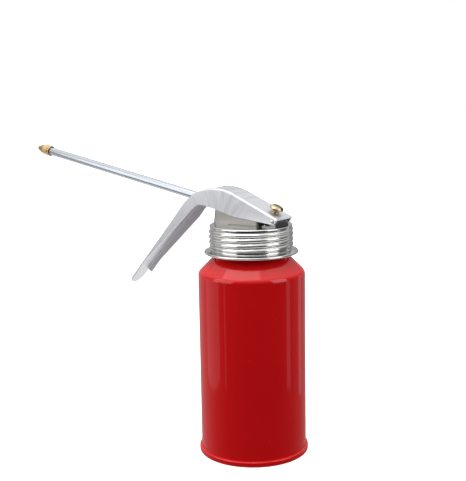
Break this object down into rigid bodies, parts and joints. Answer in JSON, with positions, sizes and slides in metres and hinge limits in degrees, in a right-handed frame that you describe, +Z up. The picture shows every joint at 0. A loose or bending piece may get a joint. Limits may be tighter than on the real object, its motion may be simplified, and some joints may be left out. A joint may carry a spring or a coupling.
{
  "type": "oil can",
  "caption": "Trigger-action oil can: a round steel can with a screw cap that carries a lever pump head and a long rigid spout with a tapered nozzle.",
  "frame": {"origin": "centre of the can's foot, level with the underside of the rolled seam", "axes": "+Z up along the can's axis; the spout and the finger trigger point along -X; +Y is the can's side"},
  "size_m": [0.2029, 0.0624, 0.1694],
  "materials": {
    "red_paint": "glossy red enamel on drawn steel",
    "bright_steel": "polished plated steel",
    "plain_steel": "bright drawn or turned steel",
    "satin_alloy": "satin pressed sheet",
    "cast_alloy": "warm grey casting",
    "brass": "turned brass",
    "dark_rubber": "oil-resistant rubber"
  },
  "bodies": {
    "can": {"can_body": "red_paint", "can_bottom": "red_paint"},
    "gasket": {"cap_gasket": "dark_rubber"},
    "head": {"screw_cap": "bright_steel", "clamp_washer": "plain_steel", "head_nut": "brass", "pump_head": "cast_alloy", "port_plug": "brass", "return_spring": "plain_steel", "inlet_body": "brass", "ball_stop": "plain_steel", "suction_tube": "plain_steel", "suction_strainer": "brass", "outlet_spring": "plain_steel", "outlet_plug": "brass", "spout_tube": "bright_steel", "spout_collar": "bright_steel", "nozzle": "brass", "hinge_bracket": "cast_alloy", "bracket_rivets": "bright_steel", "hinge_pin": "bright_steel", "pin_clip": "bright_steel"},
    "lever": {"lever": "satin_alloy", "stroke_screw": "brass", "stroke_nut": "brass"},
    "plunger": {"piston": "plain_steel", "piston_seal": "dark_rubber", "push_button": "plain_steel"},
    "inlet_valve": {"inlet_ball": "bright_steel"},
    "outlet_valve": {"outlet_ball": "bright_steel"}
  },
  "joints": [
    {"name": "cap_lift", "type": "slide", "parent": "can", "child": "gasket", "axis": [0, 0, 1], "range_m": [0, 0.0117]},
    {"name": "cap_turn", "type": "hinge", "parent": "gasket", "child": "head", "pos_m": [0, 0, 0.125], "axis": [0, 0, 1], "range_deg": [0, 1440]},
    {"name": "lever_squeeze", "type": "hinge", "parent": "head", "child": "lever", "pos_m": [0.0196, 0, 0.1342], "axis": [0, -1, 0], "range_deg": [0, 6.5], "stiffness_Nm_per_rad": 6, "springref_deg": -4.58},
    {"name": "piston_stroke", "type": "slide", "parent": "head", "child": "plunger", "axis": [0, 0, -1], "range_m": [0, 0.0027], "deforming": ["return_spring"]},
    {"name": "inlet_lift", "type": "slide", "parent": "head", "child": "inlet_valve", "axis": [0, 0, 1], "range_m": [0, 0.0009]},
    {"name": "outlet_lift", "type": "slide", "parent": "head", "child": "outlet_valve", "axis": [0, 0, 1], "range_m": [0, 0.001], "stiffness_N_per_m": 40, "springref_m": -0.001, "deforming": ["outlet_spring"]}
  ],
  "couplings": [
    {"joint": "cap_lift", "follows": "cap_turn", "m_per_rad": 0.00046155},
    {"joint": "piston_stroke", "follows": "lever_squeeze", "m_per_rad": 0.0212}
  ]
}
